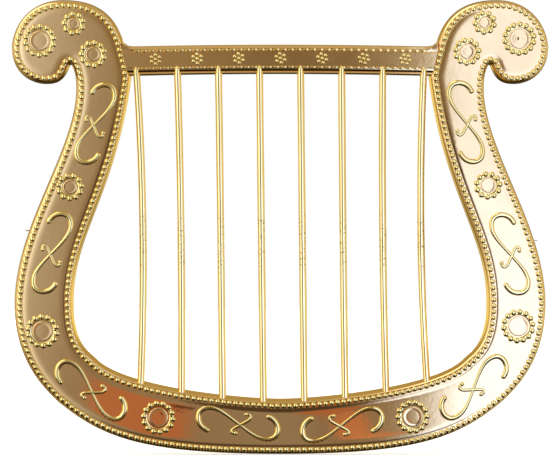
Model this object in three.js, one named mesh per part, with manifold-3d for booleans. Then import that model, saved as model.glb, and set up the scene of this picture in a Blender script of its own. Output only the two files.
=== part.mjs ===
// A flat gold lyre: a hollow U-shaped frame with two curled arms, a crossbar between the
// arms and eight rod strings. The frame and the crossbar are hollow mouldings, each closed
// at the back by a cover that is held with self-tapping screws.
//
// Millimetres. +X runs to the lyre's right as seen from the front, +Z is up, the front faces
// -Y. The origin is under the middle of the frame, at its lowest point.

import * as THREE from 'three';
import { mergeVertices } from 'three/addons/utils/BufferGeometryUtils.js';
import Module from 'manifold-3d';

const wasm = await Module();
wasm.setup();

// Driving dimensions. The lyre is 300 wide, 254 high and 18 deep.
const FRONT_Y = -9;
const BACK_Y = 9;
const WALL = 1.8;
const GAP = 0.3;
const COVER_T = 1.7;
const SEAM_Y = BACK_Y - COVER_T;
const PAST = 1; // how far a cutting solid runs on past what it cuts

// The rounded shoulder between the walls and the front.
const SHOULDER_Y = FRONT_Y + 2.4;
const SHOULDER_INSET = 1.2;
const HOLLOW_FRONT_Y = FRONT_Y + 2.8;
const HOLLOW_DRAFT = 1.3;

const CROSSBAR_FRONT_Y = FRONT_Y + 0.5;
const CROSSBAR_FOOT_Z = 212.6;

const STRING_COUNT = 8;
const STRING_R = 2;
const STRING_Y = -5;
const STRING_PITCH = 22.9;
const STRING_FOOT_PITCH = 22.8;
const STRING_LEAN = 2.1;
const STRING_BOW = 2.5;
const STRING_GRIP = 3;

// A tenon at each end of the crossbar sits in a socket in the arm.
const TENON_Z = 220;
const TENON_START = 83;
const TENON_END = 90;
const SOCKET_START = 80;
const SOCKET_END = 92;
const TENON_H = 9;
const TENON_FRONT_Y = -2.5;
const TENON_BACK_Y = 6.5;

// Screws, the posts they bite into, and the wells in the covers that they sit in.
const SHANK_R = 1.2;
const HEAD_R = 2.6;
const HEAD_T = 1.6;
const SCREW_LENGTH = 9;
const SCREW_TIP = 1.6;
const SLOT_DEPTH = 0.8;
const SLOT_WIDTH = 0.6;
const BOSS_R = 3.2;
const BOSS_FRONT_Y = FRONT_Y + 2.2;
const BORE_FRONT_Y = FRONT_Y + 3.5;
const WELL_DEPTH = 5;
const WELL_FLOOR = 1.6;
const WELL_FRONT_Y = BACK_Y - WELL_DEPTH - WELL_FLOOR;
const WELL_R = HEAD_R + 0.5;
const WELL_OUTER_R = HEAD_R + 1.7;
const WELL_HOLE_R = SHANK_R + 0.4;
const ROUND = 10;

// The covers' bevelled edge, and the lip that keeps each one in place.
const BEVEL_WIDTH = 0.7;
const BEVEL_DEPTH = 0.6;
const LIP_INSET = WALL + 0.6;
const LIP_THICKNESS = 1.4;
const LIP_REACH = 1.8;
const LIP_OVERLAP = 0.4;
const LIP_GAP_END = 93;
const LIP_GAP_MARGIN = 1.5;

const MIRROR = [1, -1];
const FRAME_SCREWS = [[121, 236], [103, 172], [131, 98], [92, 24]];
const CROSSBAR_SCREWS = [[46, 220]];

// ---------------------------------------------------------------------------- materials

function gold(color, roughness) {
  return new THREE.MeshStandardMaterial({ color, roughness, metalness: 0.9 });
}

const shellGold = gold(0xc9a45a, 0.25);
const crossbarGold = gold(0xb89150, 0.28);
const stringGold = gold(0xd8b868, 0.25);
const coverGold = gold(0xa88850, 0.4);
const screwSteel = new THREE.MeshStandardMaterial({ color: 0x8c8c8c, roughness: 0.4, metalness: 0.9 });

// ---------------------------------------------------------------------------- outlines

// A cubic curve in the plane of the lyre, cut into a number of chords.
function bend(chords, x0, z0, x1, z1, x2, z2, x3, z3) {
  const curve = new THREE.CubicBezierCurve(
    new THREE.Vector2(x0, z0),
    new THREE.Vector2(x1, z1),
    new THREE.Vector2(x2, z2),
    new THREE.Vector2(x3, z3),
  );
  return curve.getPoints(chords);
}

// Joins runs of points end to end, leaving out the points that two runs share.
const SAME_PLACE = 0.01;
function join(runs) {
  const points = [];
  for (const point of runs.flat()) {
    const last = points[points.length - 1];
    if (!last || last.distanceTo(point) > SAME_PLACE) points.push(point);
  }
  return points;
}

const mirrored = (point) => new THREE.Vector2(-point.x, point.y);

// The right half of the frame, counter-clockwise from the bottom. The outer edge swells at
// the belly, narrows to the waist and ends in a notch under the volute. The volute rolls
// round from the notch to the inner edge, which runs back down to the bottom.
const outerEdge = [
  bend(10, 0, 0, 77, 0, 100, 9, 125, 30),
  bend(7, 125, 30, 132, 37, 148.5, 52, 148.5, 84),
  bend(8, 148.5, 84, 148.5, 128, 114, 170, 114, 205),
];
const notch = [
  bend(2, 114, 205, 114, 210, 114.8, 214, 116.3, 217),
  bend(4, 116.3, 217, 116.7, 217.8, 117.3, 217.8, 117.6, 217),
];
const volute = [
  bend(4, 117.6, 217, 121, 207.5, 126, 207, 131, 207),
  bend(7, 131, 207, 137, 207, 150, 211, 150, 227.5),
  bend(9, 150, 227.5, 150, 236, 143, 254, 121, 254),
  bend(8, 121, 254, 97, 254, 91, 240, 88, 232),
];
const innerEdge = join([
  bend(8, 83, 211, 92, 144, 115.5, 124, 115.5, 85),
  bend(5, 115.5, 85, 115.5, 60, 106, 57, 102, 52.5),
  bend(8, 102, 52.5, 85, 37, 21, 31, 0, 31),
]);
const rightHalf = join([...outerEdge, ...notch, ...volute, innerEdge]);
const frameOutline = [...rightHalf, ...rightHalf.slice(1, -1).reverse().map(mirrored)];

// The crossbar, slightly arched. Its ends run on into the arms, which trim it.
const CROSSBAR_END = 92;
const crossbarOutline = join([
  bend(6, -CROSSBAR_END, 211.6, -30, 212.4, 30, 212.4, CROSSBAR_END, 211.6),
  bend(6, CROSSBAR_END, 227.4, 30, 229, -30, 229, -CROSSBAR_END, 227.4),
]);

// Moves every corner of an outline into the material by a distance, along its mitre.
function inset(outline, distance) {
  const count = outline.length;
  return outline.map((point, i) => {
    const before = point.clone().sub(outline[(i + count - 1) % count]).normalize();
    const after = outline[(i + 1) % count].clone().sub(point).normalize();
    const mitre = new THREE.Vector2(-before.y - after.y, before.x + after.x);
    const scale = distance / (1 + before.dot(after));
    return point.clone().addScaledVector(mitre, scale);
  });
}

// Height of the frame's inner edge at a distance from the middle, between the arms. The edge
// runs downwards, so the last stretch that reaches this far out is the one under the strings.
const INNER_BOTTOM_Z = 55;
function innerEdgeHeight(x) {
  const side = Math.abs(x);
  const isUnder = (point) => point.y < INNER_BOTTOM_Z && point.x <= side;
  const i = innerEdge.findIndex((point, k) => k > 0 && isUnder(point));
  const a = innerEdge[i - 1];
  const b = innerEdge[i];
  return a.y + (b.y - a.y) * (side - a.x) / (b.x - a.x);
}

// ---------------------------------------------------------------------------- solids

function solid(geometry) {
  geometry.deleteAttribute('normal');
  geometry.deleteAttribute('uv');
  const merged = mergeVertices(geometry, 1e-4);
  return new wasm.Manifold(new wasm.Mesh({
    numProp: 3,
    vertProperties: merged.attributes.position.array,
    triVerts: new Uint32Array(merged.index.array),
  }));
}

function geometryOf(manifold) {
  const mesh = manifold.getMesh();
  const geometry = new THREE.BufferGeometry();
  geometry.setAttribute('position', new THREE.BufferAttribute(mesh.vertProperties, 3));
  geometry.setIndex(new THREE.BufferAttribute(mesh.triVerts, 1));
  geometry.computeVertexNormals();
  return geometry;
}

// A closed solid through copies of an outline. Each level is [y, inset], from back to front.
function drafted(outline, levels) {
  const rings = levels.map(([, distance]) => inset(outline, distance));
  const count = outline.length;
  const positions = [];
  rings.forEach((ring, k) => ring.forEach((point) => positions.push(point.x, levels[k][0], point.y)));
  const index = [];
  for (let k = 0; k < rings.length - 1; k += 1) {
    for (let i = 0; i < count; i += 1) {
      const back = k * count + i;
      const nextBack = k * count + (i + 1) % count;
      index.push(back, nextBack, back + count, nextBack, nextBack + count, back + count);
    }
  }
  const front = (rings.length - 1) * count;
  for (const [a, b, c] of THREE.ShapeUtils.triangulateShape(rings[0], [])) index.push(a, c, b);
  for (const [a, b, c] of THREE.ShapeUtils.triangulateShape(rings[rings.length - 1], [])) {
    index.push(front + a, front + b, front + c);
  }
  const geometry = new THREE.BufferGeometry();
  geometry.setAttribute('position', new THREE.Float32BufferAttribute(positions, 3));
  geometry.setIndex(index);
  return solid(geometry);
}

// A round post along Y at a place in the lyre's plane.
function post(x, z, radius, y0, y1) {
  const geometry = new THREE.CylinderGeometry(radius, radius, y1 - y0, ROUND);
  geometry.translate(x, (y0 + y1) / 2, z);
  return solid(geometry);
}

function block(x0, x1, y0, y1, z0, z1) {
  const geometry = new THREE.BoxGeometry(x1 - x0, y1 - y0, z1 - z0);
  geometry.translate((x0 + x1) / 2, (y0 + y1) / 2, (z0 + z1) / 2);
  return solid(geometry);
}

// A block at the tenon's height on the right (side 1) or the left (side -1).
function slab(side, near, far, y0, y1, halfHeight) {
  const x = [side * near, side * far].sort((a, b) => a - b);
  return block(x[0], x[1], y0, y1, TENON_Z - halfHeight, TENON_Z + halfHeight);
}

function bothSides(places) {
  return places.flatMap(([x, z]) => MIRROR.map((side) => [side * x, z]));
}

const frameScrewPlaces = bothSides(FRAME_SCREWS);
const crossbarScrewPlaces = bothSides(CROSSBAR_SCREWS);

// ---------------------------------------------------------------------------- strings

// String paths lean a little and the outer ones bow inwards.
function stringPath(i, extra) {
  const place = i - (STRING_COUNT - 1) / 2;
  const share = place / ((STRING_COUNT - 1) / 2);
  const topX = place * STRING_PITCH;
  const footX = place * STRING_FOOT_PITCH + STRING_LEAN;
  const foot = new THREE.Vector3(footX, STRING_Y, innerEdgeHeight(footX) - STRING_GRIP - extra);
  const top = new THREE.Vector3(topX, STRING_Y, CROSSBAR_FOOT_Z + STRING_GRIP + extra);
  const middle = foot.clone().add(top).multiplyScalar(0.5);
  middle.x -= 2 * STRING_BOW * share ** 3;
  return new THREE.QuadraticBezierCurve3(foot, middle, top);
}

function rod(path, radius) {
  const section = new THREE.Shape();
  section.absarc(0, 0, radius, 0, 2 * Math.PI, false);
  return new THREE.ExtrudeGeometry(section, { steps: 6, curveSegments: 5, extrudePath: path });
}

function stringHole(i) {
  return solid(rod(stringPath(i, PAST), STRING_R + GAP));
}

const stringPaths = Array.from({ length: STRING_COUNT }, (_, i) => stringPath(i, 0));
const stringHoles = stringPaths.map((_, i) => stringHole(i));

// ---------------------------------------------------------------------------- frame and crossbar

// The outside: drafted walls, a rounded shoulder and a raised field on the front.
const OUTSIDE = [
  [SEAM_Y - GAP, 0],
  [SHOULDER_Y, SHOULDER_INSET],
  [FRONT_Y + 1.4, 1.7],
  [FRONT_Y + 0.8, 2.6],
  [FRONT_Y, 5.5],
];
const HOLLOW = [
  [BACK_Y, WALL],
  [HOLLOW_FRONT_Y, WALL + HOLLOW_DRAFT],
];
// The frame's walls with some clearance, run on past the front and the back, for trimming
// its neighbours.
const trimmer = (clearance) => drafted(frameOutline, [
  [BACK_Y + PAST, -clearance],
  [SHOULDER_Y, SHOULDER_INSET - clearance],
  [FRONT_Y - PAST, 2 * SHOULDER_INSET - clearance],
]);

// A hollow moulding with a screw post at each place, open at the back.
function moulding(outline, outside, places) {
  let body = drafted(outline, outside).subtract(drafted(outline, HOLLOW));
  for (const [x, z] of places) {
    body = body.add(post(x, z, BOSS_R, BOSS_FRONT_Y, WELL_FRONT_Y - GAP));
  }
  for (const [x, z] of places) {
    body = body.subtract(post(x, z, SHANK_R + GAP, BORE_FRONT_Y, BACK_Y));
  }
  return body;
}

// Each arm has a socket for the crossbar's tenon. It is open to the back, so that the tenon
// drops in before the cover goes on.
function frontShell() {
  let body = moulding(frameOutline, OUTSIDE, frameScrewPlaces);
  const top = TENON_H / 2 + GAP;
  for (const side of MIRROR) {
    body = body.subtract(slab(side, SOCKET_START, SOCKET_END, TENON_FRONT_Y - GAP, BACK_Y, top));
  }
  for (const hole of stringHoles) body = body.subtract(hole);
  return body;
}

// The crossbar's front lies a little lower than the frame's, and its ends follow the arms.
function crossbar() {
  const lowered = ([y, distance]) => [Math.max(y, CROSSBAR_FRONT_Y), distance];
  const outside = OUTSIDE.slice(0, -1).map(lowered);
  const endWalls = drafted(crossbarOutline, outside).intersect(trimmer(GAP + WALL));
  let body = moulding(crossbarOutline, outside, crossbarScrewPlaces).add(endWalls).subtract(trimmer(GAP));
  for (const side of MIRROR) {
    body = body.add(slab(side, TENON_START, TENON_END, TENON_FRONT_Y, TENON_BACK_Y, TENON_H / 2));
  }
  for (const hole of stringHoles) body = body.subtract(hole);
  return body;
}

// ---------------------------------------------------------------------------- covers

// A ring inside a moulding's walls that keeps its cover in place, cut away at the tenons.
function locatingLip(outline) {
  const back = SEAM_Y + LIP_OVERLAP;
  const front = SEAM_Y - LIP_REACH;
  const outer = drafted(outline, [[back, LIP_INSET], [front, LIP_INSET]]);
  const inner = LIP_INSET + LIP_THICKNESS;
  let lip = outer.subtract(drafted(outline, [[back + PAST, inner], [front - PAST, inner]]));
  const halfGap = TENON_H / 2 + LIP_GAP_MARGIN;
  for (const side of MIRROR) {
    lip = lip.subtract(slab(side, SOCKET_START, LIP_GAP_END, 0, SEAM_Y, halfGap));
  }
  return lip;
}

// A plate with its lip and a well for each screw.
function cover(outline, lip, places) {
  const plate = [[BACK_Y, BEVEL_WIDTH], [BACK_Y - BEVEL_DEPTH, 0], [SEAM_Y, 0]];
  let body = drafted(outline, plate).add(lip);
  for (const [x, z] of places) {
    body = body.add(post(x, z, WELL_OUTER_R, WELL_FRONT_Y, SEAM_Y + LIP_OVERLAP));
  }
  for (const [x, z] of places) {
    body = body.subtract(post(x, z, WELL_R, WELL_FRONT_Y + WELL_FLOOR, BACK_Y + PAST));
    body = body.subtract(post(x, z, WELL_HOLE_R, WELL_FRONT_Y - PAST, BACK_Y));
  }
  return body;
}

function backCover() {
  return cover(frameOutline, locatingLip(frameOutline), frameScrewPlaces);
}

function crossbarCover() {
  const lip = locatingLip(crossbarOutline).subtract(trimmer(WALL + 2 * GAP));
  return cover(crossbarOutline, lip, crossbarScrewPlaces).subtract(trimmer(GAP));
}

// ---------------------------------------------------------------------------- screws

// A pan-head self-tapping screw, turned round its own axis, with a cross slot in the head.
function screwGeometry() {
  const profile = [
    [0, -SCREW_LENGTH],
    [SHANK_R * 0.4, -SCREW_LENGTH],
    [SHANK_R, -SCREW_LENGTH + SCREW_TIP],
    [SHANK_R, 0],
    [HEAD_R, 0],
    [HEAD_R, HEAD_T * 0.55],
    [HEAD_R * 0.6, HEAD_T],
    [0, HEAD_T],
  ];
  const turned = new THREE.LatheGeometry(profile.map(([r, y]) => new THREE.Vector2(r, y)), ROUND);
  const slots = [0, Math.PI / 2].map((turn) => {
    const slot = new THREE.BoxGeometry(HEAD_R * 1.1, 2 * SLOT_DEPTH, SLOT_WIDTH);
    slot.rotateY(turn);
    slot.translate(0, HEAD_T, 0);
    return solid(slot);
  });
  return geometryOf(solid(turned).subtract(slots[0]).subtract(slots[1]));
}

// ---------------------------------------------------------------------------- assembly

const lyre = new THREE.Group();

function addPart(name, geometry, material) {
  const mesh = new THREE.Mesh(geometry, material);
  mesh.name = name;
  lyre.add(mesh);
  return mesh;
}

addPart('front_shell', geometryOf(frontShell()), shellGold);
addPart('back_cover', geometryOf(backCover()), coverGold);
addPart('crossbar', geometryOf(crossbar()), crossbarGold);
addPart('crossbar_cover', geometryOf(crossbarCover()), coverGold);

stringPaths.forEach((path, i) => addPart(`string_${i + 1}`, rod(path, STRING_R), stringGold));

const screw = screwGeometry();
function addScrews(prefix, places) {
  places.forEach(([x, z], i) => {
    const mesh = addPart(`${prefix}_${i + 1}`, screw, screwSteel);
    mesh.position.set(x, BACK_Y - WELL_DEPTH + GAP, z);
  });
}
addScrews('frame_screw', frameScrewPlaces);
addScrews('crossbar_screw', crossbarScrewPlaces);

export default lyre;
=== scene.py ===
"""Looks of the gold lyre: beaded and scrolled frame, crossbar, rod strings, covers and screws.

Lengths in the shape code are millimetres, turned to metres when a mesh is made. The lyre's
front faces -Y, +Z is up, and the frame outline repeats the one that the CAD shell has.
"""

import math

import bpy
import numpy as np
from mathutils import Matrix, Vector
from mathutils.geometry import delaunay_2d_cdt


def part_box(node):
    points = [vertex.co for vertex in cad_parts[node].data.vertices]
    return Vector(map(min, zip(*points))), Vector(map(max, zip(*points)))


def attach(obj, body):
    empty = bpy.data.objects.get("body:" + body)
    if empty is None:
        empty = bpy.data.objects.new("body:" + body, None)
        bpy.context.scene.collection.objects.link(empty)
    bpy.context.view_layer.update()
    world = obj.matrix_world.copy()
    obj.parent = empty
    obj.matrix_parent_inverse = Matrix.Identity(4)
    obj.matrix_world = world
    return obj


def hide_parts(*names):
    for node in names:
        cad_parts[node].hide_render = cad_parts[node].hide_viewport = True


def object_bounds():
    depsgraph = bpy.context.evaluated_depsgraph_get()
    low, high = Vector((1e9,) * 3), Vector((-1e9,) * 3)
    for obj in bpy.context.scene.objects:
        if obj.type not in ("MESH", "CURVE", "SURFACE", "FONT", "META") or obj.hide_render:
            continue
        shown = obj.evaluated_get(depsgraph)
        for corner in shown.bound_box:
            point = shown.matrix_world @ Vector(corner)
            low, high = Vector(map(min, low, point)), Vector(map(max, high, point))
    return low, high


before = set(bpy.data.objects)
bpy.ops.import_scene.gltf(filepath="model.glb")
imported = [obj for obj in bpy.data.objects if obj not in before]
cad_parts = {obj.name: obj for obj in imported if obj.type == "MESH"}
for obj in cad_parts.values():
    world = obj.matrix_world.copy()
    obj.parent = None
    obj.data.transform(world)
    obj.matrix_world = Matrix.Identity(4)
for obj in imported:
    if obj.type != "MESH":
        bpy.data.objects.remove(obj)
cad_low, cad_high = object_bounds()

MM = 0.001
rng = np.random.default_rng(7)

BACK_Y = cad_high.y / MM
FRONT_Y = cad_low.y / MM
SEAM_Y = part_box("front_shell")[1].y / MM

# The frame's cross-section, as insets from the outline and depths. A rounded shoulder leads
# from the wall to a flat land for the bead row, and the field inside the land is domed.
WALL = 1.8
SHOULDER = [
    (0.85, FRONT_Y + 3.6),
    (1.05, FRONT_Y + 2.9),
    (1.4, FRONT_Y + 2.3),
    (1.85, FRONT_Y + 1.85),
]
LAND_Y = FRONT_Y + 1.6
BEAD_INSET = 3.3
BEAD_R = 1.56
BEAD_PITCH = 3.36
FIELD_INSET = 4.9
DOME_REACH = 4.2
DOME_RISE = 0.28

# No bead or ridge reaches further forward than this, and the relief is a little off centre.
RELIEF_TOP = FRONT_Y + 0.04
RELIEF_SHIFT = np.array((0.3, -0.5))

# Rosette sizes: button radius, ring radius, beads in the ring, height of rings turned in it.
LARGE = (5.1, 8.1, 14, 0.0)
LARGE_TURNED = (5.1, 8.1, 14, 0.07)
MEDIUM = (3.6, 6.45, 11, 0.0)
SMALL = (2.7, 5.35, 9, 0.0)

# Rosettes: place and size.
ROSETTES = [
    (-133.8, 230.7, LARGE),
    (-114.8, 240.2, SMALL),
    (-104.2, 223.2, MEDIUM),
    (-117.0, 149.2, MEDIUM),
    (-132.4, 68.9, LARGE),
    (-67.8, 20.7, LARGE),
    (73.9, 21.3, LARGE),
    (132.7, 71.7, LARGE),
    (115.9, 150.1, MEDIUM),
    (104.2, 224.6, MEDIUM),
    (114.0, 240.8, SMALL),
    (133.3, 231.8, LARGE_TURNED),
]

# Scrolls: place, turn in degrees, hand, and 1 or -1 for the way the small crossing s leans.
SCROLLS = [
    (-102.8, 184.5, -5, 1, 1),
    (-126.9, 112.6, -6, 1, 1),
    (-105.3, 36.0, 105, 1, -1),
    (-23.4, 17.5, 78, 1, -1),
    (34.7, 16.8, -79, -1, -1),
    (108.0, 37.7, -110, -1, -1),
    (128.0, 112.0, 7, -1, 1),
    (103.5, 185.3, 10, -1, 1),
]


# ------------------------------------------------------------------------------ outlines


def bend(p0, p1, p2, p3, step=1.2):
    """Points along a cubic curve, about one step apart, both ends included."""
    p0, p1, p2, p3 = (np.array(p, float) for p in (p0, p1, p2, p3))
    span = np.linalg.norm(p1 - p0) + np.linalg.norm(p2 - p1) + np.linalg.norm(p3 - p2)
    t = np.linspace(0, 1, max(3, int(span / step) + 1))[:, None]
    return (1 - t) ** 3 * p0 + 3 * (1 - t) ** 2 * t * p1 + 3 * (1 - t) * t**2 * p2 + t**3 * p3


def chain(runs):
    """Joins runs of points that share their end points."""
    return np.concatenate([runs[0]] + [run[1:] for run in runs[1:]])


def frame_outline():
    """The frame's edge, counter-clockwise seen from the front, starting at the bottom."""
    right = chain(
        [
            bend((0, 0), (77, 0), (100, 9), (125, 30)),
            bend((125, 30), (132, 37), (148.5, 52), (148.5, 84)),
            bend((148.5, 84), (148.5, 128), (114, 170), (114, 205)),
            bend((114, 205), (114, 210), (114.8, 214), (116.3, 217)),
            bend((116.3, 217), (116.7, 217.8), (117.3, 217.8), (117.6, 217), 0.1),
            bend((117.6, 217), (121, 207.5), (126, 207), (131, 207)),
            bend((131, 207), (137, 207), (150, 211), (150, 227.5)),
            bend((150, 227.5), (150, 236), (143, 254), (121, 254)),
            bend((121, 254), (97, 254), (91, 240), (88, 232)),
            bend((88, 232), (86, 225), (84, 218), (83, 211)),
            bend((83, 211), (92, 144), (115.5, 124), (115.5, 85)),
            bend((115.5, 85), (115.5, 60), (106, 57), (102, 52.5)),
            bend((102, 52.5), (85, 37), (21, 31), (0, 31)),
        ]
    )
    left = right[1:-1][::-1] * (-1, 1)
    return np.concatenate([right, left])


def inset(outline, distance):
    """The outline moved into the material by a distance, along the mitres."""
    before = outline - np.roll(outline, 1, axis=0)
    after = np.roll(outline, -1, axis=0) - outline
    before /= np.linalg.norm(before, axis=1)[:, None]
    after /= np.linalg.norm(after, axis=1)[:, None]
    mitre = np.stack([-before[:, 1] - after[:, 1], before[:, 0] + after[:, 0]], axis=1)
    return outline + mitre * (distance / (1 + (before * after).sum(1)))[:, None]


def evenly(path, pitch):
    """Points at an even pitch, near the one asked for, round a closed path."""
    closed = np.concatenate([path, path[:1]])
    run = np.concatenate([[0], np.cumsum(np.linalg.norm(np.diff(closed, axis=0), axis=1))])
    count = round(run[-1] / pitch)
    at = np.arange(count) * run[-1] / count
    return np.stack([np.interp(at, run, closed[:, k]) for k in (0, 1)], axis=1)


OUTLINE = frame_outline()


def depth_inside(points):
    """Distance of each point from the frame's outline, worked out a batch at a time."""
    a = OUTLINE
    ab = np.roll(a, -1, axis=0) - a
    length2 = (ab**2).sum(1)
    batches = max(1, len(points) // 2000)
    found = []
    for part in np.array_split(points, batches):
        ap = part[:, None, :] - a[None]
        t = np.clip((ap * ab).sum(2) / length2, 0, 1)
        found.append(np.linalg.norm(ap - t[..., None] * ab, axis=2).min(1))
    return np.concatenate(found)


def dome_y(depth):
    """Y of the domed field at a distance from the outline."""
    share = np.clip((depth - FIELD_INSET) / DOME_REACH, 0, 1)
    return LAND_Y - DOME_RISE * (1 - (1 - share) ** 3)


def face_y(points):
    """Y of the frame's land and domed field at each point."""
    return dome_y(depth_inside(points - RELIEF_SHIFT))


def rim(distance):
    """The outline moved in by a distance, and shifted with the relief from the shoulder on."""
    shoulder_start, shoulder_width = 0.8, 1.4
    share = np.clip((distance - shoulder_start) / shoulder_width, 0, 1)
    return inset(OUTLINE, distance) + RELIEF_SHIFT * share


def inside(points, loop):
    """True for each point inside a closed loop."""
    x, z = points[:, 0][:, None], points[:, 1][:, None]
    x0, z0 = loop[:, 0], loop[:, 1]
    x1, z1 = np.roll(x0, -1), np.roll(z0, -1)
    crosses = (z0 > z) != (z1 > z)
    with np.errstate(divide="ignore", invalid="ignore"):
        where = x0 + (z - z0) * (x1 - x0) / (z1 - z0)
    return ((crosses & (x < where)).sum(1) % 2) == 1


# ------------------------------------------------------------------------------ meshes


SHARP_ANGLE = math.radians(38)


class Solid:
    """Gathers the vertices and faces of one piece, in millimetres."""

    def __init__(self):
        self.points = []
        self.faces = []
        self.count = 0

    def add(self, points, faces):
        points = np.asarray(points, float)
        self.points.append(points)
        self.faces += [[i + self.count for i in face] for face in faces]
        self.count += len(points)

    def piece(self, name, material, slot, *nodes):
        mesh = bpy.data.meshes.new(name)
        mesh.from_pydata((np.concatenate(self.points) * MM).tolist(), [], self.faces)
        mesh.validate()
        mesh.polygons.foreach_set("use_smooth", [True] * len(mesh.polygons))
        mesh.set_sharp_from_angle(angle=SHARP_ANGLE)
        mesh.materials.append(material)
        made = bpy.data.objects.new(name, mesh)
        bpy.context.scene.collection.objects.link(made)
        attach(made, "root")
        if nodes:
            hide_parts(*nodes)
        return made


def plane_points(flat, y):
    """Points in the lyre's plane, (x, z), put at a depth or depths."""
    flat = np.asarray(flat, float)
    return np.stack([flat[:, 0], np.broadcast_to(y, len(flat)), flat[:, 1]], axis=1)


def tube_faces(rings, count, flip=False):
    """Quads between neighbouring rings that have the same count of points."""
    faces = []
    for start in range(0, (rings - 1) * count, count):
        for i in range(count):
            j = (i + 1) % count
            quad = [start + i, start + j, start + count + j, start + count + i]
            faces.append(quad[::-1] if flip else quad)
    return faces


def closed_tube(solid, rings, tips):
    """A tube through rings of points, closed by a fan round a tip at each end."""
    count = len(rings[0])
    faces = tube_faces(len(rings), count)
    last = (len(rings) - 1) * count
    low_tip = len(rings) * count
    high_tip = low_tip + 1
    for i in range(count):
        j = (i + 1) % count
        faces.append([low_tip, j, i])
        faces.append([high_tip, last + i, last + j])
    solid.add(np.concatenate(rings + [tips]), faces)


def filled(loop, holes, spacing, towards_front):
    """Triangles over the inside of a loop, without its holes: flat points and faces.

    A grid of points at the spacing fills the loop, and keeps clear of every edge."""
    clearance = spacing * 0.55
    low, high = loop.min(0), loop.max(0)
    rows = np.arange(low[1], high[1], spacing * math.sqrt(3) / 2)
    grid = []
    for k, z in enumerate(rows):
        x = np.arange(low[0] + (k % 2) * spacing / 2, high[0], spacing)
        grid.append(np.stack([x, np.full(len(x), z)], axis=1))
    grid = np.concatenate(grid)
    loops = [loop] + holes
    keep = inside(grid, loop)
    for hole in holes:
        keep &= ~inside(grid, hole)
    grid = grid[keep]
    edges = np.concatenate(loops)
    near = np.full(len(grid), np.inf)
    for part in np.array_split(edges, 20):
        gap = np.linalg.norm(grid[:, None] - part[None], axis=2).min(1)
        near = np.minimum(near, gap)
    grid = grid[near > clearance]
    points = np.concatenate([edges, grid])
    borders, start = [], 0
    for one in loops:
        borders += [(start + i, start + (i + 1) % len(one)) for i in range(len(one))]
        start += len(one)
    found = delaunay_2d_cdt([Vector(p) for p in points], borders, [], 0, 1e-7)
    flat = np.array([tuple(v) for v in found[0]])
    tris = np.array(found[2])
    middle = flat[tris].mean(1)
    keep = inside(middle, loop)
    for hole in holes:
        keep &= ~inside(middle, hole)
    tris = tris[keep]
    first, second, third = (flat[tris[:, k]] for k in range(3))
    ab, ac = second - first, third - first
    counter_clockwise = ab[:, 0] * ac[:, 1] - ab[:, 1] * ac[:, 0] > 0
    flip = counter_clockwise != towards_front
    tris[flip] = tris[flip][:, ::-1]
    return flat, tris.tolist()


def welded(solid, name):
    """Joins points of a solid that lie in the same place."""
    points = np.concatenate(solid.points)
    keys = np.round(points, 4)
    _, first, same = np.unique(keys, axis=0, return_index=True, return_inverse=True)
    same = same.ravel()
    faces = []
    for face in solid.faces:
        ids = [int(same[i]) for i in face]
        if len(set(ids)) == len(ids):
            faces.append(ids)
    out = Solid()
    out.add(points[first], faces)
    return out


def circle(x, z, radius, count):
    turn = np.arange(count) * 2 * math.pi / count
    return np.stack([x + radius * np.cos(turn), z + radius * np.sin(turn)], axis=1)


def lathe(solid, x, z, base, profile, count):
    """Turns (radius, height) steps round an axis along Y. Height is towards the front.

    The first and last steps have no radius, so that the form is closed."""
    rings = [plane_points(circle(x, z, r, count), base - h) for r, h in profile[1:-1]]
    tips = [[x, base - profile[0][1], z], [x, base - profile[-1][1], z]]
    closed_tube(solid, rings, tips)


def bead(solid, x, z, base, radius, height, count=14):
    """A round bead on the surface at base, sunk a little into it."""
    sunk = 0.5
    steps = [(0, -sunk), (radius * 0.98, -sunk), (radius, 0)]
    for turn in (18, 38, 56, 72):
        angle = math.radians(turn)
        steps.append((radius * math.cos(angle), height * math.sin(angle)))
    steps.append((0, height))
    lathe(solid, x, z, base, steps, count)


def ridge(solid, path, radius, base, height, sides=14):
    """A rounded ridge along a path, with a half-width, a base and a height for each point.

    It is sunk a little into the surface at its base."""
    sunk = 0.4
    step = np.gradient(path, axis=0)
    step /= np.linalg.norm(step, axis=1)[:, None]
    across = np.stack([-step[:, 1], step[:, 0]], axis=1)
    turn = np.arange(sides) * 2 * math.pi / sides
    rings = []
    for p, n, r, b, h in zip(path, across, radius, base, height):
        flat = p + np.outer(np.cos(turn) * r, n)
        y = b - np.where(np.sin(turn) > 0, h, sunk) * np.sin(turn)
        rings.append(plane_points(flat, y))
    tips = [[path[0][0], base[0], path[0][1]], [path[-1][0], base[-1], path[-1][1]]]
    closed_tube(solid, rings, tips)


# ------------------------------------------------------------------------------ frame


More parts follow.
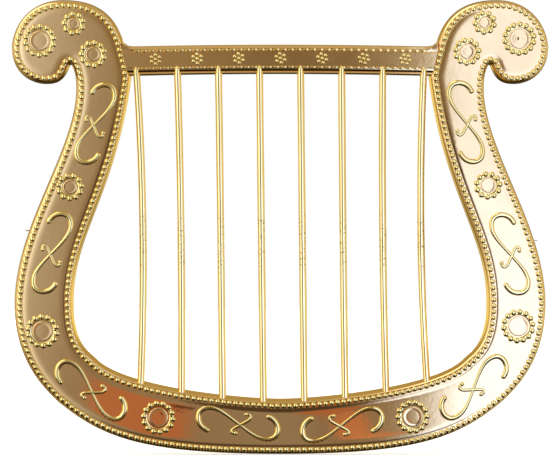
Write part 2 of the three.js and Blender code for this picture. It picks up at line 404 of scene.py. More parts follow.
def shell_body(material):
    """The hollow front moulding: drafted walls, shoulder, bead land and domed field."""
    outer = [(0.0, SEAM_Y), (0.3, SEAM_Y - 4), (0.6, SEAM_Y - 8)] + SHOULDER
    outer += [(2.3, LAND_Y + 0.05), (2.7, LAND_Y), (4.3, LAND_Y), (FIELD_INSET, LAND_Y)]
    for share in (0.1, 0.2, 0.3, 0.4, 0.5, 0.65, 0.8, 1.0):
        depth = FIELD_INSET + share * DOME_REACH
        outer.append((depth, dome_y(depth)))
    inner = [(WALL, SEAM_Y), (WALL + 1.2, FRONT_Y + 3.2)]
    rings = [plane_points(inset(OUTLINE, d), y) for d, y in inner[::-1]]
    rings += [plane_points(rim(d), y) for d, y in outer]
    solid = Solid()
    solid.add(np.concatenate(rings), tube_faces(len(rings), len(OUTLINE)))
    edge = rim(outer[-1][0])
    flat, tris = filled(edge, [], 1.6, True)
    y = face_y(flat)
    y[: len(edge)] = outer[-1][1]
    solid.add(plane_points(flat, y), tris)
    flat, tris = filled(inset(OUTLINE, inner[1][0]), [], 6, False)
    solid.add(plane_points(flat, inner[1][1]), tris)
    return welded(solid, "shell").piece("shell_body", material, "shell_gold", "front_shell")


def gate_spurs(solid):
    """A tiny broken-off moulding gate on the outer edge of each arm."""
    steps, spur_y, height = 6, 4.0, 0.3
    for side, z in ((-1, 125.0), (1, 119.5)):
        level = OUTLINE[np.abs(OUTLINE[:, 1] - z) < 1.5]
        edge_x = (side * level[:, 0]).max()
        x = side * np.linspace(edge_x - 1.5, edge_x + 1.6, steps)
        line = np.stack([x, np.full(steps, z)], axis=1)
        radius = np.linspace(0.4, 0.22, steps)
        ridge(solid, line, radius, np.full(steps, spur_y), np.full(steps, height), 8)


def shell_beads(material):
    """The row of beads that follows the whole edge of the frame."""
    solid = Solid()
    for x, z in evenly(rim(BEAD_INSET), BEAD_PITCH):
        radius = BEAD_R * rng.uniform(0.94, 1.05)
        shift = rng.uniform(-0.12, 0.12, 2)
        height = min(radius * 0.93, LAND_Y - RELIEF_TOP)
        bead(solid, x + shift[0], z + shift[1], LAND_Y, radius, height)
    gate_spurs(solid)
    return solid.piece("shell_beads", material, "shell_gold")


def button(solid, x, z, size):
    """A flat button with a raised rim, in the middle of a rosette, as (radius, height) steps."""
    radius, _, _, turned = size
    base = face_y(np.array([[x, z]]))[0]
    dish = [
        (0, -0.6),
        (radius + 0.5, -0.6),
        (radius + 0.45, 0.1),
        (radius + 0.25, 0.44),
        (radius, 0.54),
        (radius - 0.2, 0.54),
        (radius - 0.45, 0.47),
        (radius * 0.72, 0.46),
        (radius * 0.66, 0.46 + turned),
        (radius * 0.58, 0.47),
        (radius * 0.46, 0.48),
        (radius * 0.40, 0.48 + turned),
        (radius * 0.33, 0.48),
        (radius * 0.18, 0.49),
        (radius * 0.12, 0.49 + 3 * turned),
        (0, 0.49 + 3.4 * turned),
    ]
    lathe(solid, x, z, base, dish, 40)


def shell_buttons(material):
    solid = Solid()
    for x, z, size in ROSETTES:
        button(solid, x, z, size)
    return solid.piece("shell_buttons", material, "shell_gold")


def rosette(solid, x, z, size):
    """A ring of beads on a low ridge, whose ends overlap."""
    _, ring, count, _ = size
    steps, overlap = 48, 2
    around = circle(x, z, ring - 0.7, steps)
    path = np.concatenate([around, around[:overlap]])
    half_width = np.full(steps + overlap, 1.25)
    height = np.full(steps + overlap, 0.3)
    ridge(solid, path, half_width, face_y(path), height, 10)
    start = rng.uniform(0, 2 * math.pi)
    for k in range(count):
        turn = start + 2 * math.pi * k / count
        bead_x, bead_z = x + ring * math.cos(turn), z + ring * math.sin(turn)
        foot = face_y(np.array([[bead_x, bead_z]]))[0]
        radius = BEAD_R * rng.uniform(1.0, 1.08)
        bead(solid, bead_x, bead_z, foot, radius, min(radius * 0.9, foot - RELIEF_TOP))


def shell_rosettes(material):
    solid = Solid()
    for x, z, size in ROSETTES:
        rosette(solid, x, z, size)
    return solid.piece("shell_rosettes", material, "shell_gold")


def placed(local, x, z, turn, hand):
    """Local scroll points turned clockwise, mirrored for hand -1, and moved to a place."""
    angle = math.radians(turn)
    sin, cos = math.sin(angle), math.cos(angle)
    u, v = local[:, 0] * hand, local[:, 1]
    return np.stack([x + u * cos + v * sin, z - u * sin + v * cos], axis=1)


def scroll(solid, x, z, turn, hand, lean):
    """A long S with hooked ends, crossed by a small s."""
    half = chain(
        [
            bend((0, 0), (6.7, 5.7), (12.2, 9.8), (12.2, 15.9), 0.7),
            bend((12.2, 15.9), (12.2, 19.2), (9.6, 21.1), (6.4, 21.1), 0.7),
            bend((6.4, 21.1), (4.0, 21.1), (1.6, 20.0), (0, 17.6), 0.7),
        ]
    )
    path = np.concatenate([-half[:0:-1], half])
    share = np.abs(np.linspace(-1, 1, len(path)))
    thin, swell = 0.85, 0.62
    radius = thin + swell * np.sin(np.clip(share * 1.3, 0, 1) * math.pi / 2) ** 2
    small = chain(
        [
            bend((-5, 2.4), (-5.2, 4.6), (-3.2, 5.4), (-2.2, 2.6), 0.6),
            bend((-2.2, 2.6), (-1.2, -0.6), (-0.4, -3.6), (0.4, -5.8), 0.6),
            bend((0.4, -5.8), (1.2, -8.2), (3.6, -8.4), (3.9, -5.6), 0.6),
        ]
    )
    small_radius = np.full(len(small), 0.88)
    for local, size, ball in ((path, radius, 1.5), (small * lean, small_radius, 1.2)):
        line = placed(local, x, z, turn, hand)
        base = face_y(line)
        height = np.minimum(size * 0.85, base - RELIEF_TOP)
        ridge(solid, line, size, base, height)
        for end, foot in ((line[0], base[0]), (line[-1], base[-1])):
            bead(solid, end[0], end[1], foot, ball, min(ball * 0.85, foot - RELIEF_TOP))


def shell_scrolls(material):
    solid = Solid()
    for row in SCROLLS:
        scroll(solid, *row)
    return solid.piece("shell_scrolls", material, "shell_gold")


# ------------------------------------------------------------------------------ crossbar

CROSSBAR_RISE = 1.1
CROSSBAR_SPAN = 88
CROSSBAR_LOW_Z = 211.5
CROSSBAR_FRONT = FRONT_Y + 0.9


def inner_edge_x(z):
    """How far from the middle the arms' inner edge is, beside the crossbar."""
    return np.interp(z, [211, 218, 225, 232], [83, 84.1, 85.8, 88])


def arch(x):
    """How much higher the bar is at x than at its ends."""
    return CROSSBAR_RISE * (1 - (x / CROSSBAR_SPAN) ** 2)


def crossbar_profile():
    """(z, y, how far the bar runs into the arm there), from the bottom back corner round."""
    front = CROSSBAR_FRONT
    return [
        (CROSSBAR_LOW_Z, SEAM_Y, 0),
        (211.8, FRONT_Y + 2.6, 1.1),
        (211.95, FRONT_Y + 2.1, 1.3),
        (212.6, FRONT_Y + 2.4, 1.5),
        (212.7, FRONT_Y + 2.6, 1.6),
        (213.8, front + 0.55, 1.8),
        (214.1, front + 0.42, 2.2),
        (215.3, front + 0.4, 2.2),
        (215.6, front, 2.2),
        (219.8, front - 0.03, 2.2),
        (224.0, front, 2.2),
        (224.3, front + 0.5, 2.2),
        (225.0, front + 0.5, 2.2),
        (225.5, front + 0.05, 1.9),
        (226.9, front + 0.5, 1.5),
        (227.3, FRONT_Y + 2.3, 1.3),
        (227.5, FRONT_Y + 4.0, 1.0),
        (227.6, SEAM_Y, 0),
    ]


def crossbar_body(material):
    """The bar's hollow moulding as a closed form, its top edge flared where it meets an arm."""
    profile = crossbar_profile()
    columns = 61
    flare_height, flare_reach, flare_limit, flared_above_z = 1.8, 1.5, 2.0, 225
    share = np.linspace(-1, 1, columns)
    share = np.sign(share) * (1 - (1 - np.abs(share)) ** 1.3)
    solid = Solid()
    points = []
    for z, y, run_in in profile:
        x = share * (inner_edge_x(z) + run_in)
        flare = np.zeros(columns)
        if z > flared_above_z:
            flare = flare_height * np.exp(-(inner_edge_x(z) - np.abs(x)) / flare_reach)
        top = z + arch(x) + np.minimum(flare, flare_limit)
        points.append(np.stack([x, np.full(columns, y), top], axis=1))
    faces = []
    rows = len(profile)
    for r in range(rows):
        for c in range(columns - 1):
            a, b = r * columns + c, (r + 1) % rows * columns + c
            faces.append([a, a + 1, b + 1, b])
    faces.append([r * columns for r in range(rows)])
    faces.append([r * columns + columns - 1 for r in range(rows)][::-1])
    solid.add(np.concatenate(points), faces)
    return solid.piece("crossbar_body", material, "shell_gold", "crossbar")


def crossbar_trim(material):
    """Milled edges of long beads, seven dot flowers, and a round boss over each string's top."""
    solid = Solid()
    milled_pitch, milled_reach, steps = 4.1, 82.5, 7
    across = np.linspace(-0.93, 0.93, steps)
    size = 0.62 * np.sqrt(np.clip(1 - across**2, 0.05, 1))
    count = int(2 * milled_reach / milled_pitch)
    half = milled_pitch * 0.43
    for z in (214.9, 224.75):
        for k in range(count):
            x = (k - (count - 1) / 2) * milled_pitch
            line = np.stack([np.linspace(x - half, x + half, steps), np.full(steps, z)], axis=1)
            line[:, 1] += arch(line[:, 0])
            ridge(solid, line, size, np.full(steps, CROSSBAR_FRONT + 0.4), size * 0.9, 8)
    flowers, flower_pitch, dot_circle = 7, 23.2, 2.5
    for k in range(flowers):
        x = (k - flowers // 2) * flower_pitch + 0.3
        z = 219.9 + arch(x)
        turn = math.radians(90 + 3 * k)
        dots = [(x, z)]
        for j in range(6):
            angle = turn + j * math.pi / 3
            dots.append((x + dot_circle * math.cos(angle), z + dot_circle * math.sin(angle)))
        for dot_x, dot_z in dots:
            bead(solid, dot_x, dot_z, CROSSBAR_FRONT - 0.02, 1.02, 0.82, 12)
    boss_z = np.array([211.9, 213.0, 214.2, 215.2, 216.0])
    boss_width = np.array([0.75, 0.8, 0.72, 0.5, 0.22])
    boss_height = np.array([1.3, 1.6, 1.6, 1.5, 1.2])
    boss_base = np.full(len(boss_z), FRONT_Y + 1.9)
    for number in STRING_NUMBERS:
        line, radius = string_line(f"string_{number}")
        x = line[-1][0]
        boss = np.stack([np.full(len(boss_z), x), boss_z + arch(x)], axis=1)
        ridge(solid, boss, boss_width * radius, boss_base, boss_height)
    return solid.piece("crossbar_trim", material, "shell_gold")


# ------------------------------------------------------------------------------ strings


STRING_NUMBERS = range(1, 9)


def string_line(node):
    """The centre line of a CAD string, as points from its foot to its top, and its radius."""
    seen = np.array([v.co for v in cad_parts[node].data.vertices]) / MM
    low, high = seen[:, 2].min(), seen[:, 2].max()
    bow = np.polyfit(seen[:, 2], seen[:, 0], 2)
    z = np.arange(low + 0.05, high - 0.05, 1.5)
    radius = (seen[:, 1].max() - seen[:, 1].min()) / 2
    depth = (seen[:, 1].max() + seen[:, 1].min()) / 2
    return np.stack([np.polyval(bow, z), np.full(len(z), depth), z], axis=1), radius


def string_rod(number, material):
    """A moulded rod: a little uneven, rough half-way up, with a fine flash line on each side."""
    node = f"string_{number}"
    line, radius = string_line(node)
    sides = 20
    turn = np.arange(sides) * 2 * math.pi / sides
    along = line[:, 2]
    wobble = np.sin(along * 0.11 + number) * 0.03 + np.sin(along * 0.043 + 2 * number) * 0.03
    rough_z, rough_reach = 118, 11
    roughness = np.exp(-((along - rough_z) / rough_reach) ** 2)
    flash = 0.09 * np.abs(np.cos(turn)) ** 12
    rings = []
    for (x, y, z), swell, rough in zip(line, wobble, roughness):
        grain = rng.uniform(-0.06, 0.06, sides) * rough
        size = radius * (0.95 + swell * 0.5) - 0.03 + grain
        across = (size + flash) * np.cos(turn)
        rings.append(np.stack([x + across, y + size * np.sin(turn), np.full(sides, z)], axis=1))
    faces = tube_faces(len(rings), sides)
    last = (len(rings) - 1) * sides
    faces.append(list(range(sides))[::-1])
    faces.append([last + i for i in range(sides)])
    solid = Solid()
    solid.add(np.concatenate(rings), faces)
    return solid.piece(f"{node}_rod", material, "string_gold", node)


# ------------------------------------------------------------------------------ back

WELL_R = 3.1
WELL_SIDES = 32
WELL_FLOOR_Y = BACK_Y - 5
WELL_FLOOR_T = 1.6
SCREW_HOLE_R = 1.6


def centre_of(node):
    """Where the middle of a CAD node is in the lyre's plane, (x, z)."""
    low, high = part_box(node)
    return (low.x + high.x) / 2 / MM, (low.z + high.z) / 2 / MM


def screw_nodes(prefix):
    return sorted(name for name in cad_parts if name.startswith(prefix))


def cover_piece(name, outline, screws, material, node):
    """A back plate with a chamfered edge, a shallow panel line and a well at each screw."""
    centres = [centre_of(screw) for screw in screws]
    inside_y = SEAM_Y + 0.3
    panel_inset, panel_y = 5.4, BACK_Y - 0.05
    edge = [
        (0.9, inside_y),
        (0.0, inside_y),
        (0.0, BACK_Y - 0.7),
        (0.15, BACK_Y - 0.25),
        (0.5, BACK_Y),
        (4.2, BACK_Y),
        (4.5, BACK_Y - 0.35),
        (5.1, BACK_Y - 0.35),
        (panel_inset, panel_y),
    ]
    solid = Solid()
    rings = [plane_points(inset(outline, d), y) for d, y in edge]
    solid.add(np.concatenate(rings), tube_faces(len(rings), len(outline), True))
    mouth_r = WELL_R + 0.4
    wells = [circle(x, z, mouth_r, WELL_SIDES) for x, z in centres]
    flat, tris = filled(inset(outline, panel_inset), wells, 3.2, False)
    solid.add(plane_points(flat, panel_y), tris)
    flat, tris = filled(inset(outline, edge[0][0]), wells, 6, True)
    solid.add(plane_points(flat, inside_y), tris)
    well = [
        (mouth_r, inside_y),
        (WELL_R + 1.4, inside_y - 0.2),
        (WELL_R + 1.2, WELL_FLOOR_Y - WELL_FLOOR_T),
        (SCREW_HOLE_R, WELL_FLOOR_Y - WELL_FLOOR_T),
        (SCREW_HOLE_R, WELL_FLOOR_Y),
        (WELL_R - 0.3, WELL_FLOOR_Y),
        (WELL_R, WELL_FLOOR_Y + 0.3),
        (WELL_R, panel_y - 0.4),
        (mouth_r, panel_y),
    ]
    for x, z in centres:
        rings = [plane_points(circle(x, z, r, WELL_SIDES), y) for r, y in well]
        solid.add(np.concatenate(rings), tube_faces(len(rings), WELL_SIDES))
    return welded(solid, name).piece(name, material, "cover_gold", node)


def crossbar_outline():
    """The crossbar cover's edge, counter-clockwise seen from the front."""
    share = np.linspace(-1, 1, 90)
    gap, top_z = 0.3, 227.5
    edges = []
    for run, z in ((share, CROSSBAR_LOW_Z), (share[::-1], top_z)):
        x = run * (inner_edge_x(z) - gap)
        edges.append(np.stack([x, z + arch(run * CROSSBAR_SPAN)], axis=1))
    return np.concatenate(edges)


def screw_piece(node, material):
    """A pan-head screw with a cross recess, facing the back."""
    low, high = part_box(node)
    x, z = centre_of(node)
    top, tip = high.y / MM, low.y / MM
    head_t, head_r, shank_r = 1.6, 2.6, 1.15
    count = 32
    rings = []
    for r, y in (
        (0.05, tip),
        (shank_r * 0.5, tip + 0.3),
        (shank_r, tip + 1.8),
        (shank_r, top - head_t),
        (head_r, top - head_t),
        (head_r, top - head_t * 0.5),
        (head_r * 0.92, top - head_t * 0.25),
        (head_r * 0.72, top - 0.06),
        (head_r * 0.6, top),
    ):
        rings.append(plane_points(circle(x, z, r, count), y))
    faces = tube_faces(len(rings), count, True)
    faces.append(list(range(count)))
    turn = rng.uniform(0, math.pi)
    arm, wide, deep = head_r * 0.5, 0.34, 0.7
    corners = []
    for k in range(4):
        a = turn + k * math.pi / 2
        u, v = np.array([math.cos(a), math.sin(a)]), np.array([-math.sin(a), math.cos(a)])
        corners += [u * arm - v * wide, u * arm + v * wide, u * wide + v * wide]
    cross = np.array([x, z]) + np.array(corners)
    solid = Solid()
    solid.add(np.concatenate(rings), faces)
    flat, tris = filled(circle(x, z, head_r * 0.6, count), [cross], 0.8, False)
    solid.add(plane_points(flat, top), tris)
    solid.add(
        np.concatenate([plane_points(cross, top), plane_points(cross, top - deep)]),
        tube_faces(2, 12) + [list(range(12, 24))[::-1]],
    )
    return welded(solid, node).piece(f"{node}_detail", material, "screw_steel", node)


# ------------------------------------------------------------------------------ materials


def new_material(name):
    """A material, its node tree and its shader node."""
    material = bpy.data.materials.new(name)
    material.use_nodes = True
    tree = material.node_tree
    return material, tree, tree.nodes["Principled BSDF"]


def add(tree, kind, **values):
    """A node with values for its inputs or its settings, by their names."""
    node = tree.nodes.new(kind)
    for key, value in values.items():
        if key in node.inputs:
            node.inputs[key].default_value = value
        else:
            setattr(node, key, value)
    return node


def ramp(tree, source, low, high, out_low, out_high):
    """A smooth step from one value to another."""
    node = add(tree, "ShaderNodeMapRange", interpolation_type="SMOOTHSTEP")
    node.inputs["From Min"].default_value = low
    node.inputs["From Max"].default_value = high
    node.inputs["To Min"].default_value = out_low
    node.inputs["To Max"].default_value = out_high
    tree.links.new(source, node.inputs["Value"])
    return node.outputs["Result"]


def arithmetic(tree, operation, first, second):
    node = add(tree, "ShaderNodeMath", operation=operation)
    tree.links.new(first, node.inputs[0])
    tree.links.new(second, node.inputs[1])
    return node.outputs[0]


def blend_colour(tree, factor, first, second):
    """The first colour where the factor is 0 and the second where it is 1."""
    node = add(tree, "ShaderNodeMix", data_type="RGBA")
    for socket, value in (("A", first), ("B", second)):
        into = [s for s in node.inputs if s.name == socket and s.type == "RGBA"][0]
        if isinstance(value, tuple):
            into.default_value = (*value, 1)
        else:
            tree.links.new(value, into)
    tree.links.new(factor, node.inputs["Factor"])
    return [s for s in node.outputs if s.type == "RGBA"][0]


PIT_BROWN = (0.16, 0.09, 0.03)
WORN_BROWN = (0.25, 0.17, 0.08)


def gold(name, bright, deep, shine, edge=(0.93, 0.71, 0.24), wear=0.0, pit=0.7, foot=1.0):
    """Metallised gold: slow tone changes, small pits, and a soft uneven gloss.

    Surfaces that the camera sees at a grazing angle take the edge colour, a painted grazing
    reflection: a painted sheen with a lighter edge colour, a painted shade with a darker one.
    Wear is how strong the rubbed spots are half-way up the lyre, pit how dark the pits are, and
    foot the share of roughness left at its foot."""
    material, tree, shader = new_material(name)
    where = add(tree, "ShaderNodeTexCoord").outputs["Object"]

    def noise(scale, detail, rough):
        node = add(tree, "ShaderNodeTexNoise", Scale=scale, Detail=detail, Roughness=rough)
        tree.links.new(where, node.inputs["Vector"])
        return node.outputs["Fac"]

    tone = ramp(tree, noise(28, 3, 0.6), 0.35, 0.68, 0.0, 1.0)
    colour = blend_colour(tree, tone, deep, bright)
    # Painted reflection: where the camera sees the surface at a grazing angle, the colour turns
    # to the edge colour, a painted sheen or, with a darker edge colour, a painted shade.
    grazing = add(tree, "ShaderNodeLayerWeight", Blend=0.5).outputs["Facing"]
    colour = blend_colour(tree, ramp(tree, grazing, 0.4, 0.9, 0.0, 1.0), colour, edge)
    pits = ramp(tree, noise(1300, 2, 0.5), 0.72, 0.77, 0.0, pit)
    colour = blend_colour(tree, pits, colour, PIT_BROWN)
    roughness = ramp(tree, noise(160, 4, 0.6), 0.3, 0.7, shine, shine + 0.05)
    split = add(tree, "ShaderNodeSeparateXYZ")
    tree.links.new(where, split.inputs[0])
    height = split.outputs["Z"]
    if foot < 1:
        left = ramp(tree, height, 0.025, 0.06, foot, 1.0)
        roughness = arithmetic(tree, "MULTIPLY", roughness, left)
    if wear:
        rise = ramp(tree, height, 0.098, 0.108, 0.0, 1.0)
        fall = ramp(tree, height, 0.128, 0.138, 1.0, 0.0)
        flakes = ramp(tree, noise(900, 3, 0.6), 0.56, 0.62, 0.0, wear)
        band = arithmetic(tree, "MULTIPLY", rise, fall)
        spots = arithmetic(tree, "MULTIPLY", band, flakes)
        colour = blend_colour(tree, spots, colour, WORN_BROWN)
    tree.links.new(colour, shader.inputs["Base Color"])
    tree.links.new(roughness, shader.inputs["Roughness"])
    shader.inputs["Metallic"].default_value = 1.0
    shader.inputs["Specular Tint"].default_value = (0.97, 0.85, 0.46, 1)
    bump = add(tree, "ShaderNodeBump", Strength=0.05, Distance=0.0004)
    tree.links.new(noise(420, 3, 0.55), bump.inputs["Height"])
    tree.links.new(bump.outputs["Normal"], shader.inputs["Normal"])
    return material


def steel():
    """Zinc-plated steel with a mottled tone."""
    material, tree, shader = new_material("screw_steel")
    where = add(tree, "ShaderNodeTexCoord").outputs["Object"]
    noise = add(tree, "ShaderNodeTexNoise", Scale=900, Detail=3)
    tree.links.new(where, noise.inputs["Vector"])
    colour = blend_colour(tree, noise.outputs["Fac"], (0.36, 0.36, 0.37), (0.62, 0.61, 0.60))
    tree.links.new(colour, shader.inputs["Base Color"])
    roughness = ramp(tree, noise.outputs["Fac"], 0.3, 0.7, 0.24, 0.42)
    tree.links.new(roughness, shader.inputs["Roughness"])
    shader.inputs["Metallic"].default_value = 1.0
    return material


# ------------------------------------------------------------------------------ studio


def colour_ramp(tree, source, stops):
    """Colours blended between stops, given as (place, red, green, blue)."""
    node = add(tree, "ShaderNodeValToRGB")
    tree.links.new(source, node.inputs["Fac"])
    elements = node.color_ramp.elements
    while len(elements) < len(stops):
        elements.new(0.5)
    for element, (place, *rgb) in zip(elements, stops):
        element.position = place
        element.color = (*rgb, 1)
    return node.outputs["Color"]


WALL_HALF = 0.9
STIR = 0.8

# Colours across the light wall's upper and lower parts: place in mm, red, green, blue.
UPPER_WALL = [
    (-420, 2.2, 2.35, 2.7),
    (-260, 1.25, 1.38, 1.7),
    (-205, 0.92, 1.0, 1.2),
    (-150, 0.62, 0.62, 0.66),
    (-128, 0.48, 0.45, 0.44),
    (-104, 0.38, 0.33, 0.28),
    (-70, 0.34, 0.27, 0.18),
    (0, 0.25, 0.19, 0.13),
    (50, 0.28, 0.22, 0.16),
    (88, 0.42, 0.38, 0.32),
    (112, 0.8, 0.85, 0.95),
    (420, 1.0, 1.0, 1.0),
    (700, 0.4, 0.4, 0.4),
]
LOWER_WALL = [
    (-420, 2.0, 2.1, 2.3),
    (-260, 1.0, 1.05, 1.15),
    (-170, 0.55, 0.54, 0.55),
    (-132, 0.37, 0.32, 0.28),
    (-90, 0.31, 0.25, 0.20),
    (0, 0.34, 0.29, 0.26),
    (45, 0.28, 0.22, 0.17),
    (68, 0.33, 0.27, 0.23),
    (92, 0.62, 0.66, 0.8),
    (420, 1.0, 1.0, 1.0),
    (700, 0.4, 0.4, 0.4),
]

# Patches on the light wall: middle x and z, half-width and half-height in mm, softness of the
# edge, colour. The first is the dark middle that the strings reflect, and the rest are the
# orange and brown things near the lyre's foot.
WALL_PATCHES = [
    (0, 116, 44, 66, 0.3, (0.09, 0.065, 0.045)),
    (-86, 8, 30, 46, 0.25, (0.50, 0.21, 0.12)),
    (-62, 19, 10, 3.5, 0.2, (0.06, 0.03, 0.02)),
    (30, 36, 19, 27, 0.14, (0.46, 0.18, 0.10)),
    (45, 4, 12, 10, 0.14, (0.56, 0.25, 0.14)),
    (62, -7, 24, 6, 0.15, (0.62, 0.29, 0.17)),
]


def across_wall(tree, x, stops):
    """Colours blended across the light wall, given as (place in mm, red, green, blue)."""
    share = add(tree, "ShaderNodeMapRange")
    share.inputs["From Min"].default_value = -WALL_HALF
    share.inputs["From Max"].default_value = WALL_HALF
    tree.links.new(x, share.inputs["Value"])
    placed_stops = [(0.5 + mm * MM / (2 * WALL_HALF), *rgb) for mm, *rgb in stops]
    return colour_ramp(tree, share.outputs["Result"], placed_stops)


def wall_patch(tree, where, stir, patch, colour):
    """An oval patch over a colour, with its outline bent by the stirring noise."""
    x, z, width, height, soft, tint = patch
    off = add(tree, "ShaderNodeVectorMath", operation="MULTIPLY_ADD")
    tree.links.new(where, off.inputs[0])
    off.inputs[1].default_value = (1 / (width * MM), 0, 1 / (height * MM))
    off.inputs[2].default_value = (-x / width - STIR / 2, 0, -z / height - STIR / 2)
    shift = add(tree, "ShaderNodeVectorMath", operation="MULTIPLY_ADD")
    tree.links.new(stir, shift.inputs[0])
    shift.inputs[1].default_value = (STIR, 0, STIR)
    tree.links.new(off.outputs["Vector"], shift.inputs[2])
    length = add(tree, "ShaderNodeVectorMath", operation="LENGTH")
    tree.links.new(shift.outputs["Vector"], length.inputs[0])
    mask = ramp(tree, length.outputs["Value"], 1 - soft, 1 + soft, 1.0, 0.0)
    return blend_colour(tree, mask, colour, tint)


def wall_colour(tree, where, x, z):
    """White at the far left, tan, then brown in the middle and bright at the right.

    The bright part reaches further in half-way up, above it is a warm ceiling, and below it
    the ground is dark."""
    rise = ramp(tree, z, 0.03, 0.24, 0.0, 1.0)
    low, high = across_wall(tree, x, LOWER_WALL), across_wall(tree, x, UPPER_WALL)
    colour = blend_colour(tree, rise, low, high)
    stir = add(tree, "ShaderNodeTexNoise", Scale=22.0, Detail=2.0)
    tree.links.new(where, stir.inputs["Vector"])
    for patch in WALL_PATCHES:
        colour = wall_patch(tree, where, stir.outputs["Color"], patch, colour)
    ceiling = ramp(tree, z, 0.32, 0.5, 0.0, 1.0)
    colour = blend_colour(tree, ceiling, colour, (0.62, 0.54, 0.38))
    reach = 0.045
    middle_rise = ramp(tree, z, 0.04, 0.07, 0.0, reach)
    middle_fall = ramp(tree, z, 0.15, 0.19, 0.0, -reach)
    middle = arithmetic(tree, "ADD", middle_rise, middle_fall)
    along = arithmetic(tree, "ADD", x, middle)
    start = ramp(tree, along, 0.084, 0.118, 0.0, 1.0)
    end = ramp(tree, x, 0.35, 0.6, 1.0, 0.0)
    bright = blend_colour(tree, rise, (1.5, 1.9, 3.3), (1.22, 1.47, 2.3))
    colour = blend_colour(tree, arithmetic(tree, "MULTIPLY", start, end), colour, bright)
    ground = ramp(tree, z, -0.12, -0.05, 0.0, 1.0)
    return blend_colour(tree, ground, (0.07, 0.05, 0.035), colour)


def light_wall():
    """The studio's light wall, in front of the lyre: seen only as a reflection.

    It glows in its colours, and fades to nothing towards its edges."""
    mesh = bpy.data.meshes.new("light_wall")
    half = WALL_HALF
    corners = [(-half, 0, -half), (half, 0, -half), (half, 0, half), (-half, 0, half)]
    mesh.from_pydata(corners, [], [(3, 2, 1, 0)])
    made = bpy.data.objects.new("light_wall", mesh)
    made.location = (0, -0.36, 0)
    bpy.context.scene.collection.objects.link(made)
    made.visible_camera = False
    made.visible_shadow = False
    material = bpy.data.materials.new("light_wall")
    material.use_nodes = True
    tree = material.node_tree
    tree.nodes.clear()
    where = add(tree, "ShaderNodeTexCoord").outputs["Object"]
    split = add(tree, "ShaderNodeSeparateXYZ")
    tree.links.new(where, split.inputs[0])
    x, z = split.outputs["X"], split.outputs["Z"]
    fades = []
    for place in (x, z):
        absolute = add(tree, "ShaderNodeMath", operation="ABSOLUTE")
        tree.links.new(place, absolute.inputs[0])
        fades.append(ramp(tree, absolute.outputs[0], half * 0.6, half, 1.0, 0.0))
    glow = add(tree, "ShaderNodeEmission", Strength=1.0)
    tree.links.new(wall_colour(tree, where, x, z), glow.inputs["Color"])
    clear = add(tree, "ShaderNodeBsdfTransparent")
    mix = add(tree, "ShaderNodeMixShader")
    out = add(tree, "ShaderNodeOutputMaterial")
    tree.links.new(arithmetic(tree, "MULTIPLY", *fades), mix.inputs["Fac"])
    tree.links.new(clear.outputs[0], mix.inputs[1])
    tree.links.new(glow.outputs[0], mix.inputs[2])
    tree.links.new(mix.outputs[0], out.inputs["Surface"])
    mesh.materials.append(material)


def studio_world():
    """White to the camera. Reflections see a dim warm room that is lighter above.

    Behind the lyre is a warm wall, brightest at the lyre's level and dark below, with a dark
    disc straight behind. A key light is at the upper left, and it's dark below the front. Both
    sides glow, and so do the two lower back corners, the right one more."""
    world = bpy.data.worlds.new("studio")
    bpy.context.scene.world = world
    world.use_nodes = True
    tree = world.node_tree
    tree.nodes.clear()
    where = add(tree, "ShaderNodeTexCoord").outputs["Generated"]
    split = add(tree, "ShaderNodeSeparateXYZ")
    tree.links.new(where, split.inputs[0])
    up = split.outputs["Z"]

    def towards(direction, start, full):
        """From 0 to 1 as a ray turns to a direction, by the cosine of the angle to it."""
        node = add(tree, "ShaderNodeVectorMath", operation="DOT_PRODUCT")
        node.inputs[1].default_value = Vector(direction).normalized()
        tree.links.new(where, node.inputs[0])
        return ramp(tree, node.outputs["Value"], start, full, 0.0, 1.0)

    level = ramp(tree, up, -0.35, 0.4, 0.0, 1.0)
    colour = blend_colour(tree, level, (0.10, 0.075, 0.045), (0.58, 0.49, 0.29))
    upper = ramp(tree, up, 0.04, 0.13, 0.0, 1.0)
    warm = blend_colour(tree, upper, (1.0, 0.86, 0.50), (0.46, 0.34, 0.17))
    above = ramp(tree, up, -0.13, -0.02, 0.0, 1.0)
    warm = blend_colour(tree, above, (0.06, 0.04, 0.018), warm)
    back = (0, 1, 0)
    colour = blend_colour(tree, towards(back, 0.5, 0.93), colour, warm)
    lights = [(back, 0.9885, 0.9915, (0.10, 0.085, 0.06))]
    lights += [((-0.65, -0.35, 0.7), 0.8, 0.92, (2.6, 2.5, 2.3))]
    lights += [((0.15, -0.35, -0.9), 0.3, 0.6, (0.01, 0.006, 0.003))]
    lights += [((0.75, 0.45, -0.5), 0.82, 0.94, (0.95, 0.86, 0.62))]
    lights += [((-0.75, 0.45, -0.5), 0.82, 0.94, (0.50, 0.39, 0.22))]
    lights += [((side, 0, 0.1), 0.84, 0.97, (1.0, 0.93, 0.66)) for side in (-1, 1)]
    for direction, start, full, light in lights:
        colour = blend_colour(tree, towards(direction, start, full), colour, light)
    seen = add(tree, "ShaderNodeLightPath").outputs["Is Camera Ray"]
    colour = blend_colour(tree, seen, colour, (1.0, 1.0, 1.0))
    background = add(tree, "ShaderNodeBackground", Strength=1.0)
    tree.links.new(colour, background.inputs["Color"])
    out = add(tree, "ShaderNodeOutputWorld")
    tree.links.new(background.outputs[0], out.inputs["Surface"])


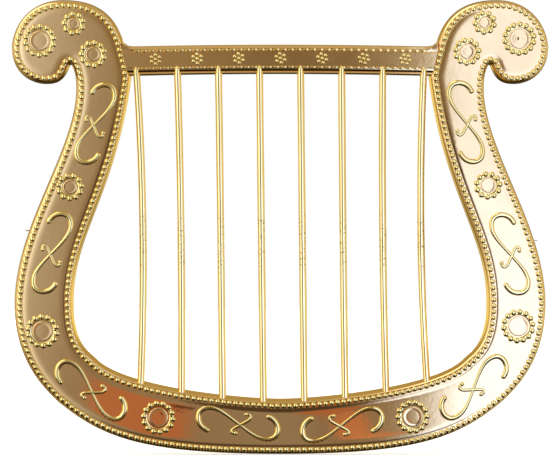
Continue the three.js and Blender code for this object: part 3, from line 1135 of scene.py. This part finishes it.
def floor():
    """A plain pale floor that the gold doesn't reflect."""
    mesh = bpy.data.meshes.new("floor")
    half = 6
    corners = [(-half, -half, 0), (half, -half, 0), (half, half, 0), (-half, half, 0)]
    mesh.from_pydata(corners, [], [(0, 1, 2, 3)])
    made = bpy.data.objects.new("floor", mesh)
    bpy.context.scene.collection.objects.link(made)
    made.visible_glossy = False
    material, tree, shader = new_material("floor")
    noise = add(tree, "ShaderNodeTexNoise", Scale=3.0)
    colour = blend_colour(tree, noise.outputs["Fac"], (0.90, 0.90, 0.89), (0.94, 0.94, 0.93))
    tree.links.new(colour, shader.inputs["Base Color"])
    shader.inputs["Roughness"].default_value = 0.9
    shader.inputs["Emission Color"].default_value = (1, 1, 1, 1)
    shader.inputs["Emission Strength"].default_value = 0.62
    mesh.materials.append(material)


def camera():
    """Straight on and from far away. The lyre sits a little right of the middle, and high."""
    distance = 3.0
    frame_width = 0.308
    aim_x, aim_z = -0.0028, 0.1214
    data = bpy.data.cameras.new("camera")
    data.sensor_width = 36
    data.lens = data.sensor_width * distance / frame_width
    made = bpy.data.objects.new("camera", data)
    made.location = (aim_x, cad_high.y - distance, aim_z)
    made.rotation_euler = (math.radians(90), 0, 0)
    bpy.context.scene.collection.objects.link(made)
    bpy.context.scene.camera = made


# ------------------------------------------------------------------------------ build

camera()
studio_world()
floor()
light_wall()

bpy.context.scene.view_settings.view_transform = "Standard"

shell_gold = gold("shell_gold", (0.88, 0.62, 0.30), (0.83, 0.57, 0.27), 0.085, foot=0.35)
# Painted shade: the darker olive that the bead rims take where the camera sees them edge-on.
bead_painted_rim_shade = (0.70, 0.57, 0.18)
bead_gold = gold("bead_gold", (0.90, 0.73, 0.31), (0.80, 0.63, 0.23), 0.035, edge=bead_painted_rim_shade)
string_gold = gold("string_gold", (0.96, 0.76, 0.36), (0.90, 0.68, 0.29), 0.05, wear=0.85)
cover_gold = gold("cover_gold", (0.90, 0.66, 0.33), (0.80, 0.56, 0.26), 0.36, pit=0.15)
screw_steel = steel()

shell_body(shell_gold)
shell_beads(bead_gold)
shell_rosettes(bead_gold)
shell_buttons(shell_gold)
shell_scrolls(bead_gold)
crossbar_body(shell_gold)
crossbar_trim(bead_gold)
for number in STRING_NUMBERS:
    string_rod(number, string_gold)
frame_screws = screw_nodes("frame_screw")
crossbar_screws = screw_nodes("crossbar_screw")
cover_piece("back_cover_plate", OUTLINE, frame_screws, cover_gold, "back_cover")
bar_cover_edge = crossbar_outline()
cover_piece("crossbar_cover_plate", bar_cover_edge, crossbar_screws, cover_gold, "crossbar_cover")
for screw in frame_screws + crossbar_screws:
    screw_piece(screw, screw_steel)
